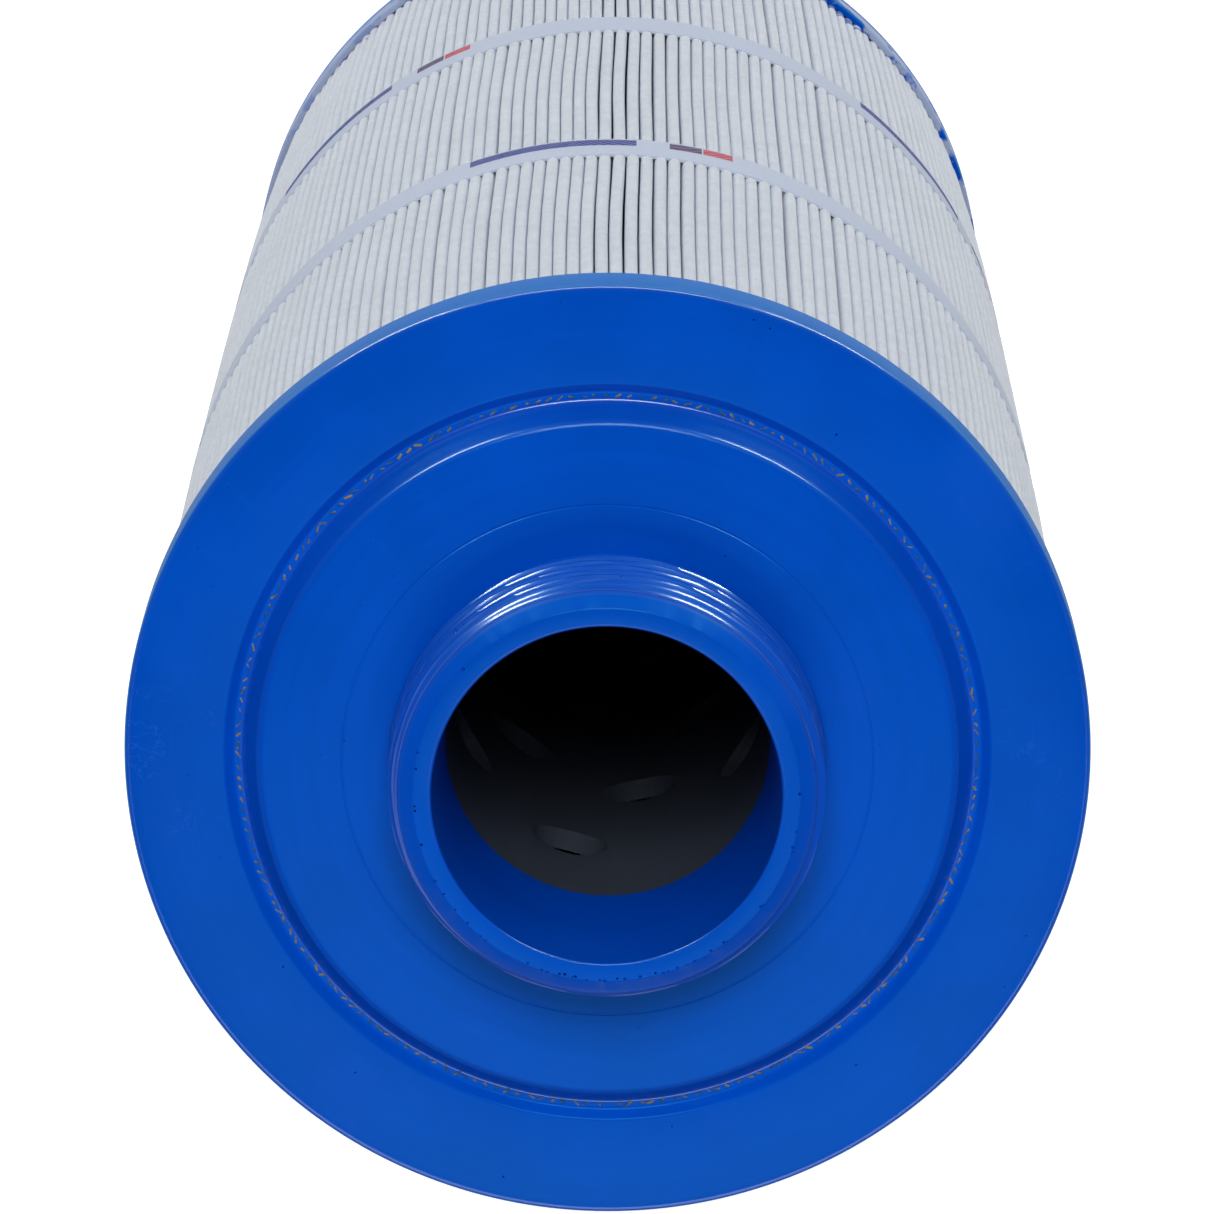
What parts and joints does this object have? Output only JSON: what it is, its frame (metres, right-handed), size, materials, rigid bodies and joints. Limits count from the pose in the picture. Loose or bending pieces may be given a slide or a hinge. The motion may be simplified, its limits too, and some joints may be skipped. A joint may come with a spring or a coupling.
{
  "type": "pleated filter cartridge",
  "caption": "Cylindrical pleated filter cartridge with a perforated core, strap bands, a closed end cap and a threaded open end cap.",
  "frame": {"origin": "middle of the face that the cartridge stands on, the closed end cap's outer ring", "axes": "+Z along the cartridge's axis, from the closed end cap to the threaded spigot"},
  "size_m": [0.1334, 0.1334, 0.3234],
  "materials": {
    "threaded_cap_polyurethane": "satin cast polyurethane, blue, with fine pinholes",
    "closed_cap_polyurethane": "satin cast polyurethane, blue, wicked into the pleat ends",
    "core_plastic": "black moulded plastic",
    "pleated_polyester": "spunbonded polyester sheet, cool white",
    "band_strap": null,
    "seam_glue": "hot-melt glue, translucent straw",
    "band_glue": "hot-melt glue, translucent straw"
  },
  "bodies": {
    "root": {"threaded_end_cap": "threaded_cap_polyurethane", "closed_end_cap": "closed_cap_polyurethane", "core_tube": "core_plastic", "pleated_media": "pleated_polyester", "media_seam_bead": "seam_glue", "front_band": "band_strap", "rear_band": "band_strap", "front_band_glue": "band_glue", "rear_band_glue": "band_glue"}
  },
  "joints": []
}
